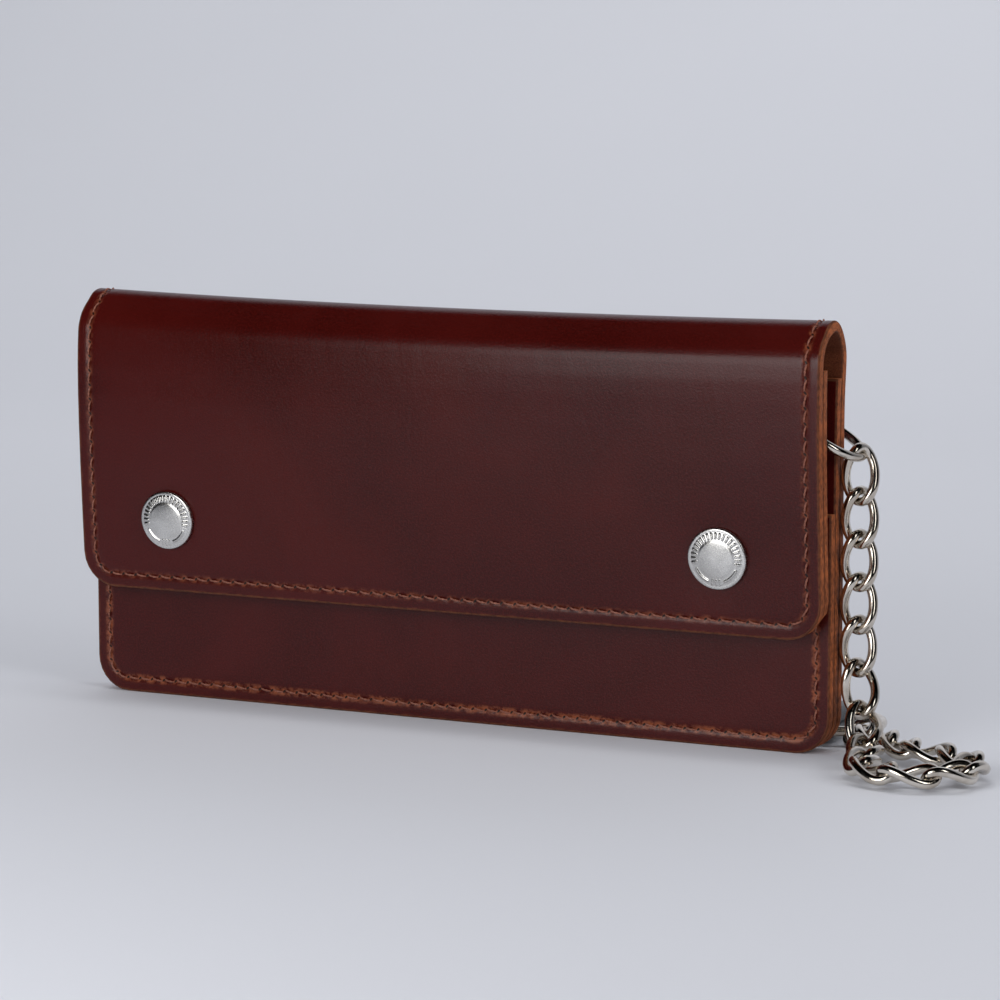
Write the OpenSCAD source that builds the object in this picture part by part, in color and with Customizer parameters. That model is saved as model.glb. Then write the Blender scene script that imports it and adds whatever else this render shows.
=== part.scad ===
// Long leather chain wallet: fold-over shell with two snaps, a front pocket and a bill compartment,
// and a steel curb chain that ends in a snap-closed belt loop. Millimetres, X width, -Y front, Z up.

/* [Wallet] */
// Width of the leather panels
wallet_w = 204; // [190:1:215]
// Height from the bottom edge to the crown of the fold
wallet_h = 104; // [102:1:112]
// Thickness of one layer of leather
leather_t = 2.8; // [2.4:0.1:2.9]
// Depth of the closed wallet, which is the outer width of the fold
fold_d = 18.6; // [18.2:0.1:20]
// Radius of the rounded corners
corner_r = 9; // [6:0.5:12]
// Height of the flap's bottom edge above the wallet's
flap_edge_z = 28.3; // [27:0.1:30]
// Height of the front panel
front_panel_h = 58; // [56:1:60]
// Height of the inner panel
inner_panel_h = 90; // [88:1:91]

/* [Snaps] */
// Distance of each flap snap from the middle
snap_x = 76; // [60:1:80]
// Height of the flap snaps
snap_z = 47.6; // [45:0.1:49]
// Diameter of a snap cap
cap_d = 15; // [12:0.5:15]

/* [Chain] */
// Thickness of the chain's wire
wire_d = 2.3; // [2:0.1:2.3]
// Overall width of a link
link_w = 9.2; // [9:0.1:9.4]
// Overall length of a link
link_l = 15.3; // [15.2:0.1:15.6]
// Distance from one link to the next
link_pitch = 10.3; // [10.1:0.1:10.4]
// Radius of the wallet ring at the middle of its wire
wallet_ring_r = 8.1; // [8:0.1:8.2]

/* [Belt loop] */
// Width of the belt loop's strap
strap_w = 20; // [16:0.5:20]
// Thickness of the strap
strap_t = 2.2; // [1.8:0.1:2.2]
// Length of the closed loop, from the fold to the D-ring's bar
strap_l = 78; // [70:1:90]

/* [Hidden] */
$fn = 48;

// The fold: a half tube of leather about the X axis through (0, axis_z)
fold_r = fold_d / 2;
axis_z = wallet_h - fold_r;
back_y = fold_r;
hinge_gap_deg = 0.9;
hinge_deg = 45;
// The flap leans back towards its bottom edge, which lies on the front panel
clear = 0.3;
lean_deg = asin((fold_r - (5 * leather_t + clear - fold_r)) / (axis_z - flap_edge_z));
flap_l = (axis_z - flap_edge_z - fold_r * sin(lean_deg)) / cos(lean_deg);
lining_top = -1.7;
big = 300;

// Stitching
stitch_inset = 3.6;
stitch_pitch = 3.6;
stitch_l = 2.6;
stitch_w = 0.7;
stitch_h = 0.3;

// The panels lie flat on each other round their seams and bow apart in the field between
seam_x = 84;
seam_z = 28;
most_bow = 4;
inner_bow = 0.9;
inner_y = back_y - leather_t;
front_y = inner_y - leather_t;
seam_y = front_y - leather_t;
panel_face = 2 * leather_t + clear - fold_r;
front_top_y = (panel_face + (axis_z - front_panel_h) * sin(lean_deg)) / cos(lean_deg);

// Snaps
snap_local_z = (snap_z - axis_z) / cos(lean_deg);
cap_edge = 0.9;
cap_crown = 1.9;
socket_r = 5;
socket_t = 2.6;
socket_bore_r = 2.5;
post_r = 1.6;
post_hole_r = 1.8;
stud_r = 1.9;
stud_flange_r = 4.8;
stud_flange_t = 0.5;
stud_out = 2.2;
stud_wall = 0.6;
socket_floor_t = 0.4;
post_grip = 0.4;
fit = 0.1;

// Eyelet and wallet ring
eyelet_x = wallet_w / 2 - 9.1;
eyelet_z = 80;
eyelet_hole_r = 3.2;
eyelet_r = 2.6;
eyelet_flange_r = 5;
eyelet_flange_t = 0.5;
ring_tilt = 32;
ring_wire_d = 2.2;
ring_y = back_y - 1.9;

// Chain: each heading is [azimuth, elevation] of one link, chosen by hand from the ring to the belt loop
wire_r = wire_d / 2;
bend_r = link_w / 2 - wire_r;
straight = link_l / 2 - link_w / 2;
hanging_headings = [[-18, -90], [-18, -90], [-18, -90], [-22, -90], [-30, -90], [-52, -67]];
floor_headings = [[-64, -39], [-70, -7], [-76, 0], [-34, 0], [10, 0], [56, 0],
                  [102, 0], [146, 0], [165, 0], [140, 0], [140, 0]];
headings = concat(hanging_headings, floor_headings);
hook = link_l / 2 - wire_d - ring_wire_d / 2 - fit;
ring_out = [eyelet_x + 2 * wallet_ring_r * cos(ring_tilt), ring_y,
            eyelet_z - 2 * wallet_ring_r * sin(ring_tilt)];
chain_start = ring_out + [0, 0, link_pitch / 2 - hook];
function heading(h) = [cos(h[1]) * cos(h[0]), cos(h[1]) * sin(h[0]), sin(h[1])];
function joints(i) = i == 0 ? [chain_start]
    : let(so_far = joints(i - 1)) concat(so_far, [so_far[i - 1] + link_pitch * heading(headings[i - 1])]);
link_joints = joints(len(headings));
chain_end = link_joints[len(headings)];

// End ring, D-ring and belt loop, carried on from the last link
end_az = headings[len(headings) - 1][0];
end_ring_r = 4;
end_wire_r = 0.9;
end_ring_tilt = -43;
d_wire_r = 1.25;
d_bend_r = strap_w / 2 + 2.2;
wrap_in = d_wire_r + 2 * fit;
d_bar_z = strap_t + wrap_in;
end_ring_at = chain_end + (end_ring_r - end_wire_r) * heading([end_az, 0]);
d_point = end_ring_at + (end_ring_r - end_wire_r - d_wire_r - 3 * fit) * heading([end_az, 0]);
d_centre = [d_point[0], d_point[1], 0] + d_bend_r * heading([end_az, 0]) + [0, 0, d_bar_z];
strap_x = d_centre[0];
strap_y = d_centre[1];
wrap_out = wrap_in + strap_t;
belt_gap = 4.8;
tongue_z = strap_t + belt_gap;
loop_fold_r = belt_gap / 2 + strap_t;
loop_fold_x = strap_x - strap_l;
loop_snap_x = strap_x - 14;
tail_slope_l = 8;
tail_l = 22;
loop_socket_t = 2;
loop_flange_t = 0.4;
loop_stud_out = 1.6;
head_r = 4.5;
head_t = 0.5;
tongue_gap = 0.15;

// ---------- shared shapes ----------

// A plate in the XZ plane, from y0 back by t
module plate(y0, t) {
    translate([0, y0 + t, 0]) rotate([90, 0, 0]) linear_extrude(t) children();
}

// Outline of a panel with rounded bottom corners, its bottom edge on z = 0
module panel_outline(w, h) {
    translate([-w / 2, corner_r]) square([w, h - corner_r]);
    translate([-w / 2 + corner_r, 0]) square([w - 2 * corner_r, corner_r + 1]);
    for (side = [-1, 1]) translate([side * (w / 2 - corner_r), corner_r]) circle(corner_r);
}

// Side profile of a stretch of the fold, about its axis; angles run from the front over the top
module fold_profile(from_deg, to_deg) {
    intersection() {
        difference() {
            circle(fold_r, $fn = 96);
            circle(fold_r - leather_t, $fn = 96);
        }
        polygon([[0, 0], for (a = [from_deg, (from_deg + to_deg) / 2, to_deg]) fold_d * [-cos(a), sin(a)]]);
    }
}

// Runs a side profile, drawn in Y and Z, across the wallet's width
module across_width() {
    rotate([90, 0, 90]) linear_extrude(wallet_w, center = true) children();
}

// Frame of the leaning flap: y = -fold_r is its front face, z = 0 is the fold's axis
module on_flap() {
    translate([0, 0, axis_z]) rotate([lean_deg, 0, 0]) children();
}

module flap_outline(top) {
    translate([0, -flap_l]) panel_outline(wallet_w, flap_l + top);
}

// Flap snap positions in the XZ plane of the flap's frame
module at_snap(side) {
    translate([side * snap_x, 0, snap_local_z]) children();
}

// A shaft along Y from y0 to y1
module y_rod(r, y0, y1) {
    translate([0, y1, 0]) rotate([90, 0, 0]) cylinder(r = r, h = y1 - y0);
}

// One stitch lying along Z on a face at y = 0, standing out towards -Y
module stitch() {
    translate([-stitch_w / 2, -stitch_h, -stitch_l / 2]) cube([stitch_w, stitch_h, stitch_l]);
}

// A U of stitches on a panel of width w, up both sides to z = top; the face is at y = 0
module stitch_u(w, top, bottom_inset) {
    side_x = w / 2 - stitch_inset;
    rows = floor((top - corner_r - stitch_pitch) / stitch_pitch);
    for (side = [-1, 1], i = [0 : rows])
        translate([side * side_x, 0, corner_r + stitch_pitch * (i + 0.5)]) stitch();
    columns = floor((w - 2 * corner_r) / stitch_pitch);
    for (i = [0 : columns - 1])
        translate([(i - (columns - 1) / 2) * stitch_pitch, 0, bottom_inset]) rotate([0, 90, 0]) stitch();
    turn_r = corner_r - stitch_inset;
    for (side = [-1, 1], a = [22.5, 67.5])
        translate([side * (w / 2 - corner_r + turn_r * sin(a)), 0, corner_r - turn_r * cos(a)])
            rotate([0, -side * (90 - a), 0]) stitch();
}

// Stitches over the fold, between two angles
module stitch_arc(from_deg, to_deg) {
    count = floor((to_deg - from_deg) * PI / 180 * fold_r / stitch_pitch);
    for (side = [-1, 1], i = [0 : count - 1]) {
        a = from_deg + (i + 0.5) * (to_deg - from_deg) / count;
        translate([side * (wallet_w / 2 - stitch_inset), 0, axis_z]) rotate([-a, 0, 0])
            translate([0, -fold_r, 0]) stitch();
    }
}

// Everything behind a face that is flat at y = seam round its border and bows forward by bow at z = top_z
module behind_bow(seam, bow, top_z, high) {
    intersection() {
        translate([-big / 2, 0, 0]) rotate([90, 0, 90]) linear_extrude(big)
            polygon([[big, -1], [seam, -1], [seam, seam_z],
                [seam - bow, top_z], [seam - bow, high], [big, high]]);
        translate([0, 0, -1]) linear_extrude(big)
            polygon([[-big / 2, big], [-big / 2, seam],
                [-seam_x, seam], [most_bow - seam_x, seam - most_bow],
                [seam_x - most_bow, seam - most_bow], [seam_x, seam],
                [big / 2, seam], [big / 2, big]]);
    }
}

// A panel that is flat round its border and bowed in its field; its back lies on y = seam
module bowed_panel(seam, bow, top_z, h) {
    intersection() {
        difference() {
            behind_bow(seam - leather_t, bow, top_z, h);
            behind_bow(seam, bow, top_z, h + 1);
        }
        plate(-big, 2 * big) panel_outline(wallet_w, h);
    }
}

// ---------- leather ----------

module shell_back() {
    color("#5a2420") difference() {
        intersection() {
            translate([0, 0, axis_z]) across_width() {
                fold_profile(180 - hinge_deg + hinge_gap_deg, 180);
                translate([fold_r - leather_t, -axis_z]) square([leather_t, axis_z]);
            }
            plate(-big, 2 * big) panel_outline(wallet_w, wallet_h);
        }
        translate([eyelet_x, 0, eyelet_z]) y_rod(eyelet_hole_r, 0, big);
        translate([eyelet_x, 0, eyelet_z]) y_rod(eyelet_flange_r + fit, back_y - eyelet_flange_t, big);
    }
}

module shell_fold() {
    color("#5a2420") translate([0, 0, axis_z]) across_width()
        fold_profile(hinge_deg + hinge_gap_deg, 180 - hinge_deg - hinge_gap_deg);
}

module shell_flap() {
    color("#5a2420") on_flap() difference() {
        intersection() {
            across_width() {
                fold_profile(0, lean_deg + hinge_deg - hinge_gap_deg);
                translate([-fold_r, -flap_l]) square([leather_t, flap_l]);
            }
            plate(-big, 2 * big) flap_outline(fold_d);
        }
        for (side = [-1, 1]) at_snap(side) y_rod(post_hole_r, -big, 0);
    }
}

module flap_lining() {
    color("#9a5a2c") on_flap() difference() {
        plate(-fold_r + leather_t, leather_t) flap_outline(lining_top);
        for (side = [-1, 1]) at_snap(side) y_rod(socket_r + 2 * fit, -big, big);
    }
}

module inner_panel() {
    color("#5a2420") difference() {
        bowed_panel(inner_y, inner_bow, front_panel_h, inner_panel_h);
        translate([eyelet_x, 0, eyelet_z]) y_rod(eyelet_hole_r, -big, big);
    }
}

// The front panel's field follows the flap's lean, just behind its lining
module front_panel() {
    color("#5a2420") difference() {
        bowed_panel(front_y, seam_y - front_top_y, front_panel_h, front_panel_h);
        on_flap() for (side = [-1, 1]) at_snap(side) {
            y_rod(post_hole_r, -big, big);
            y_rod(head_r + fit, panel_face + leather_t - head_t, big);
            y_rod(stud_flange_r + fit, -big, panel_face + stud_flange_t);
        }
    }
}

// ---------- thread ----------

module thread_back() {
    color("#8c4a34") {
        translate([0, back_y, 0]) mirror([0, 1, 0]) stitch_u(wallet_w, axis_z, stitch_inset);
        stitch_arc(180 - hinge_deg, 180);
    }
}

module thread_fold() {
    color("#8c4a34") stitch_arc(hinge_deg, 180 - hinge_deg);
}

module thread_flap() {
    color("#8c4a34") {
        on_flap() translate([0, -fold_r, -flap_l]) stitch_u(wallet_w, flap_l, stitch_inset);
        stitch_arc(-lean_deg, hinge_deg);
    }
}

module thread_front() {
    color("#8c4a34") translate([0, seam_y, 0]) stitch_u(wallet_w, front_panel_h, stitch_inset);
}

// ---------- snaps ----------

// A domed cap standing on y = 0 towards -Y, with its post running to y = post_l
module domed_cap(post_l) {
    rotate([90, 0, 0]) {
        rise = cap_crown - cap_edge;
        dome_r = (cap_d * cap_d / 4 + rise * rise) / (2 * rise);
        intersection() {
            cylinder(d = cap_d, h = cap_crown);
            translate([0, 0, cap_crown - dome_r]) sphere(dome_r, $fn = 180);
        }
        translate([0, 0, -post_l]) cylinder(r = post_r, h = post_l + cap_edge / 2);
    }
}

// A socket from y = 0 to y = depth, open at the back
module socket(depth) {
    difference() {
        y_rod(socket_r, 0, depth);
        y_rod(socket_bore_r, socket_floor_t, depth + 1);
        y_rod(post_r + fit, -1, depth + 1);
    }
}

// A stud whose flange lies from y = 0 back by flange_t, standing out by reach towards -Y
module stud(flange_t, reach) {
    difference() {
        union() {
            y_rod(stud_flange_r, 0, flange_t);
            y_rod(stud_r, -reach, flange_t);
        }
        y_rod(post_r - stud_wall, -reach + stud_wall, flange_t + 1);
    }
}

// A post whose head's back is on y = 0, running towards -Y; its tip fills the stud
module post(shank_l) {
    y_rod(head_r, -head_t, 0);
    y_rod(post_r, -shank_l, -head_t / 2);
}

module flap_snap_cap(side) {
    color("#c9c9c6") on_flap() at_snap(side) translate([0, -fold_r, 0]) domed_cap(leather_t + post_grip);
}

module flap_snap_socket(side) {
    color("#a9a9a6") on_flap() at_snap(side) translate([0, leather_t - fold_r, 0]) socket(socket_t);
}

module panel_snap_stud(side) {
    color("#a9a9a6") on_flap() at_snap(side) translate([0, panel_face, 0]) stud(stud_flange_t, stud_out);
}

module panel_snap_post(side) {
    color("#a9a9a6") on_flap() at_snap(side) translate([0, panel_face + leather_t, 0])
        post(leather_t - stud_flange_t);
}

module snap_cap_left() { flap_snap_cap(-1); }
module snap_cap_right() { flap_snap_cap(1); }
module snap_socket_left() { flap_snap_socket(-1); }
module snap_socket_right() { flap_snap_socket(1); }
module snap_stud_left() { panel_snap_stud(-1); }
module snap_stud_right() { panel_snap_stud(1); }
module snap_post_left() { panel_snap_post(-1); }
module snap_post_right() { panel_snap_post(1); }

// ---------- eyelet and chain ----------

module eyelet() {
    color("#b9b7b0") translate([eyelet_x, 0, eyelet_z]) difference() {
        union() {
            y_rod(eyelet_flange_r, front_y - eyelet_flange_t, front_y);
            y_rod(eyelet_hole_r - fit, front_y - eyelet_flange_t, back_y);
        }
        y_rod(eyelet_r, -big, big);
    }
}

module eyelet_washer() {
    color("#b9b7b0") translate([eyelet_x, 0, eyelet_z]) difference() {
        y_rod(eyelet_flange_r, back_y - eyelet_flange_t, back_y);
        y_rod(eyelet_hole_r, -big, big);
    }
}

module ring(mid_r, wire) {
    rotate_extrude($fn = 72) translate([mid_r, 0]) circle(wire, $fn = 24);
}

module wallet_ring() {
    color("#cfccc4") translate([eyelet_x, ring_y, eyelet_z]) rotate([0, ring_tilt, 0])
        translate([wallet_ring_r, 0, 0]) ring(wallet_ring_r, ring_wire_d / 2);
}

// One link along X, its bends round Z
module chain_link() {
    for (side = [0, 180]) rotate([0, 0, side]) {
        translate([straight, 0, 0]) rotate([0, 0, -90]) rotate_extrude(angle = 180, $fn = 48)
            translate([bend_r, 0]) circle(wire_r, $fn = 24);
        translate([0, bend_r, 0]) rotate([0, 90, 0])
            cylinder(r = wire_r, h = 2 * straight, center = true, $fn = 24);
    }
}

// Links from first to last, turned a quarter against each other
module chain_run(first, last) {
    for (i = [first : last]) {
        lie = i % 2 == 0 ? 45 : -45;
        translate((link_joints[i] + link_joints[i + 1]) / 2)
            rotate([0, -headings[i][1], headings[i][0]]) rotate([lie, 0, 0]) chain_link();
    }
}

module chain_hanging() {
    color("#cfccc4") chain_run(0, len(hanging_headings) - 1);
}

module chain_floor() {
    color("#cfccc4") chain_run(len(hanging_headings), len(headings) - 1);
}

module end_ring() {
    color("#cfccc4") translate(end_ring_at) rotate([0, 0, end_az]) rotate([end_ring_tilt, 0, 0])
        ring(end_ring_r, end_wire_r);
}

// ---------- belt loop ----------

module d_ring() {
    color("#cfccc4") translate(d_centre) {
        rotate([0, 0, -90]) rotate_extrude(angle = 180, $fn = 72) translate([d_bend_r, 0])
            circle(d_wire_r, $fn = 24);
        y_rod(d_wire_r, -d_bend_r, d_bend_r);
        for (side = [-1, 1]) translate([0, side * d_bend_r, 0]) sphere(d_wire_r);
    }
}

// Side profile of half a turn of strap about [x, z], its bend towards -X when side is -1
module strap_bend(r_in, x, z, side) {
    translate([x, z]) intersection() {
        difference() {
            circle(r_in + strap_t, $fn = 72);
            circle(r_in, $fn = 72);
        }
        translate([side < 0 ? -big : 0, -big / 2]) square([big, big]);
    }
}

// Runs a side profile, drawn in X and Z, across the strap's width
module across_strap() {
    translate([0, strap_y, 0]) rotate([90, 0, 0]) linear_extrude(strap_w, center = true) children();
}

module loop_strap_base() {
    tail_z = d_bar_z + wrap_in;
    color("#1c1d20") difference() {
        across_strap() {
            strap_bend(belt_gap / 2, loop_fold_x, loop_fold_r, -1);
            translate([loop_fold_x, 0]) square([strap_l, strap_t]);
            strap_bend(wrap_in, strap_x, d_bar_z, 1);
            polygon([[strap_x, tail_z], [strap_x, tail_z + strap_t],
                [strap_x - tail_slope_l, 2 * strap_t], [strap_x - tail_l, 2 * strap_t],
                [strap_x - tail_l, strap_t], [strap_x - tail_slope_l, strap_t]]);
        }
        translate([loop_snap_x, strap_y, -1]) cylinder(r = post_hole_r, h = 3 * strap_t);
        translate([loop_snap_x, strap_y, -1]) cylinder(r = head_r + fit, h = head_t + 1);
    }
}

module loop_strap_tongue() {
    color("#1c1d20") translate([0, 0, tongue_z]) difference() {
        union() {
            translate([loop_fold_x + tongue_gap, strap_y - strap_w / 2, 0])
                cube([loop_snap_x - loop_fold_x - tongue_gap, strap_w, strap_t]);
            translate([loop_snap_x, strap_y, 0]) cylinder(d = strap_w, h = strap_t);
        }
        translate([loop_snap_x, strap_y, -1]) cylinder(r = post_hole_r, h = strap_t + 2);
    }
}

// Turns a snap piece from facing -Y to facing up, at height z
module at_loop_snap(z) {
    translate([loop_snap_x, strap_y, z]) rotate([-90, 0, 0]) children();
}

module loop_snap_cap() {
    color("#c9c9c6") at_loop_snap(tongue_z + strap_t) domed_cap(strap_t + post_grip);
}

module loop_snap_socket() {
    color("#a9a9a6") at_loop_snap(tongue_z) socket(loop_socket_t);
}

module loop_snap_stud() {
    color("#a9a9a6") at_loop_snap(2 * strap_t + loop_flange_t) stud(loop_flange_t, loop_stud_out);
}

module loop_snap_post() {
    color("#a9a9a6") at_loop_snap(0) post(2 * strap_t);
}

shell_back();
shell_fold();
shell_flap();
flap_lining();
inner_panel();
front_panel();
thread_back();
thread_fold();
thread_flap();
thread_front();
snap_cap_left();
snap_cap_right();
snap_socket_left();
snap_socket_right();
snap_stud_left();
snap_stud_right();
snap_post_left();
snap_post_right();
eyelet();
eyelet_washer();
wallet_ring();
chain_hanging();
chain_floor();
end_ring();
d_ring();
loop_strap_base();
loop_strap_tongue();
loop_snap_cap();
loop_snap_socket();
loop_snap_stud();
loop_snap_post();
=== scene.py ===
"""A leather chain wallet: fold-over shell with two snaps, two panels, a curb chain and a belt loop."""
import math
import random

import bmesh
import bpy
import numpy as np
from mathutils import Matrix, Vector


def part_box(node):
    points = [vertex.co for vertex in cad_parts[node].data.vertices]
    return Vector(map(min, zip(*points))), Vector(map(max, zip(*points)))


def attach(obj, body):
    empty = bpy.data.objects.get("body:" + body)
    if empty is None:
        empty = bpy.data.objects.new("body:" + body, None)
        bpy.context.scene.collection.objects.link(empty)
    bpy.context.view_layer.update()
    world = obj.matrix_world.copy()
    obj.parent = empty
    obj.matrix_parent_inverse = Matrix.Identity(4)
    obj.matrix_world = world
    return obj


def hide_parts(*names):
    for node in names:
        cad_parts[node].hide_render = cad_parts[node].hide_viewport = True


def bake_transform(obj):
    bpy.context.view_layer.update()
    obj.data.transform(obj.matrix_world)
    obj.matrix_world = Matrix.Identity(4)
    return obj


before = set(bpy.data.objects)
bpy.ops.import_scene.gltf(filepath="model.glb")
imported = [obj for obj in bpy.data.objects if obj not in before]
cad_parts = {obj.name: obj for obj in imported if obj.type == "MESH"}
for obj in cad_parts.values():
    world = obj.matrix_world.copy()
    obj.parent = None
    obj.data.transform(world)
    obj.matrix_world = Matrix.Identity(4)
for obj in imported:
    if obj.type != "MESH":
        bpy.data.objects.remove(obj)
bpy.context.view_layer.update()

# ---------- sizes, in millimetres, worked out from the frame ----------

MM = 0.001


def box_mm(node):
    """A CAD node's lowest and highest corners in millimetres."""
    low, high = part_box(node)
    return np.array(low) / MM, np.array(high) / MM


HALF_W, FOLD_R, _ = box_mm("shell_back")[1]
CROWN = box_mm("shell_fold")[1][2]
AXIS_Z = CROWN - FOLD_R
LEATHER = 2.8
CORNER_R = 9.0
FLAP_EDGE = box_mm("shell_flap")[0][2]
INNER_Y = FOLD_R - LEATHER
FRONT_Y = INNER_Y - LEATHER
SEAM_Y = FRONT_Y - LEATHER
FRONT_TOP = box_mm("front_panel")[1][2]
INNER_TOP = box_mm("inner_panel")[1][2]
FRONT_BOW = SEAM_Y - box_mm("front_panel")[0][1]
INNER_BOW = FRONT_Y - box_mm("inner_panel")[0][1]
FLAP_GAP = 0.3
LEAN = math.asin((2 * FOLD_R - 5 * LEATHER - FLAP_GAP) / (AXIS_Z - FLAP_EDGE))
FLAP_L = (AXIS_Z - FLAP_EDGE - FOLD_R * math.sin(LEAN)) / math.cos(LEAN)
SNAP_X = (box_mm("snap_cap_right")[0][0] + box_mm("snap_cap_right")[1][0]) / 2
SNAP_Z = 47.6
SEAM_IN = 3.6
PITCH = 3.6
EDGE_ROUND = 0.55
EDGE_SLOT = 2

# ---------- camera ----------

CAMERA_AT = (0.4107, -0.8110, 0.1774)
CAMERA_YAW = 25.99
CAMERA_DOWN = 7.62
FOCAL = 133.2


def make_camera():
    data = bpy.data.cameras.new("camera")
    data.lens = FOCAL
    data.sensor_width = 36
    camera = bpy.data.objects.new("camera", data)
    camera.location = CAMERA_AT
    camera.rotation_euler = (math.radians(90 - CAMERA_DOWN), 0, math.radians(CAMERA_YAW))
    bpy.context.scene.collection.objects.link(camera)
    bpy.context.scene.camera = camera


make_camera()

# ---------- node helpers ----------


class Nodes:
    """A short way to write a material's node tree."""

    def __init__(self, name):
        self.material = bpy.data.materials.new(name)
        self.material.use_nodes = True
        self.tree = self.material.node_tree
        self.shader = self.tree.nodes["Principled BSDF"]

    def add(self, kind, **settings):
        node = self.tree.nodes.new("ShaderNode" + kind)
        for key, value in settings.items():
            setattr(node, key, value)
        return node

    def link(self, source, target):
        self.tree.links.new(source, target)

    def put(self, socket, value):
        """Links a socket or sets a constant."""
        if isinstance(value, bpy.types.NodeSocket):
            self.link(value, socket)
        else:
            socket.default_value = value

    @staticmethod
    def rgba(color):
        return (*color, 1) if isinstance(color, tuple) else color

    def math(self, operation, a, b=0.0):
        node = self.add("Math", operation=operation)
        for socket, value in zip(node.inputs, (a, b)):
            self.put(socket, value)
        return node.outputs[0]

    def uv(self, layer):
        node = self.add("UVMap", uv_map=layer)
        return node.outputs[0]

    def scaled(self, vector, factors, offset=(0, 0, 0)):
        node = self.add("Mapping")
        self.put(node.inputs["Vector"], vector)
        node.inputs["Scale"].default_value = factors
        node.inputs["Location"].default_value = offset
        return node.outputs[0]

    def split(self, vector):
        node = self.add("SeparateXYZ")
        self.put(node.inputs[0], vector)
        return node.outputs[0], node.outputs[1], node.outputs[2]

    def noise(self, vector, scale, detail=3.0, roughness=0.55, distortion=0.0):
        node = self.add("TexNoise")
        self.put(node.inputs["Vector"], vector)
        node.inputs["Scale"].default_value = scale
        node.inputs["Detail"].default_value = detail
        node.inputs["Roughness"].default_value = roughness
        node.inputs["Distortion"].default_value = distortion
        return node.outputs["Fac"]

    def cells(self, vector, scale):
        node = self.add("TexVoronoi", feature="F1")
        self.put(node.inputs["Vector"], vector)
        node.inputs["Scale"].default_value = scale
        return node.outputs["Distance"]

    def ramp(self, value, low, high, out_low=0.0, out_high=1.0, smooth=True):
        node = self.add("MapRange", interpolation_type="SMOOTHSTEP" if smooth else "LINEAR")
        for socket, number in zip(node.inputs, (value, low, high, out_low, out_high)):
            self.put(socket, number)
        return node.outputs[0]

    def mix(self, share, a, b):
        node = self.add("Mix", data_type="RGBA")
        self.put(node.inputs["Factor"], share)
        for key, value in (("A", a), ("B", b)):
            socket = [s for s in node.inputs if s.name == key and s.type == "RGBA"][0]
            self.put(socket, self.rgba(value))
        return [s for s in node.outputs if s.type == "RGBA"][0]

    def bump(self, height, distance, strength=1.0, normal=None):
        node = self.add("Bump")
        node.inputs["Strength"].default_value = strength
        node.inputs["Distance"].default_value = distance
        self.put(node.inputs["Height"], height)
        if normal is not None:
            self.link(normal, node.inputs["Normal"])
        return node.outputs[0]

    def finish(self, color, roughness, normal=None, **constants):
        self.put(self.shader.inputs["Base Color"], self.rgba(color))
        self.put(self.shader.inputs["Roughness"], roughness)
        if normal is not None:
            self.link(normal, self.shader.inputs["Normal"])
        for key, value in constants.items():
            self.shader.inputs[key.replace("_", " ")].default_value = value
        return self.material


# ---------- materials ----------


RUBBED = (0.30, 0.085, 0.036)
PULLED = (0.26, 0.070, 0.030)
# painted shade: the near-black colour that stands for the inside of each stitch hole
HOLE_SHADE = (0.010, 0.004, 0.003)
RIM_TONE = (0.22, 0.06, 0.028)
# noise scales, in turns a metre
CLOUD, PATCH, SEAM_PATCH, CREASE = 24, 9, 70, 130
GRAIN, FIBRE, PORES, RUB, RIM_WEAR = 1900, 5200, 2600, 420, 400
# a hole's slot in millimetres: half its length, half its width, and how far it slants
SLOT_HALF, SLOT_WIDE, SLOT_SLANT = 0.40, 0.50, 0.5


def scaled_color(color, *factors):
    return tuple(part * factor for part, factor in zip(color, factors))


def seam_holes(n, run, inset):
    """How many slot sizes a point is from its nearest stitch hole."""
    turn = n.math("DIVIDE", run, PITCH * MM)
    phase = n.math("SUBTRACT", turn, n.math("ROUND", turn))
    off_seam = n.math("SUBTRACT", n.math("MULTIPLY", inset, 1 / MM), SEAM_IN)
    along = n.math("SUBTRACT", n.math("MULTIPLY", phase, PITCH), n.math("MULTIPLY", off_seam, SLOT_SLANT))
    return n.math("SQRT", n.math("ADD", n.math("POWER", n.math("DIVIDE", along, SLOT_HALF), 2),
                                 n.math("POWER", n.math("DIVIDE", off_seam, SLOT_WIDE), 2)))


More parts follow.
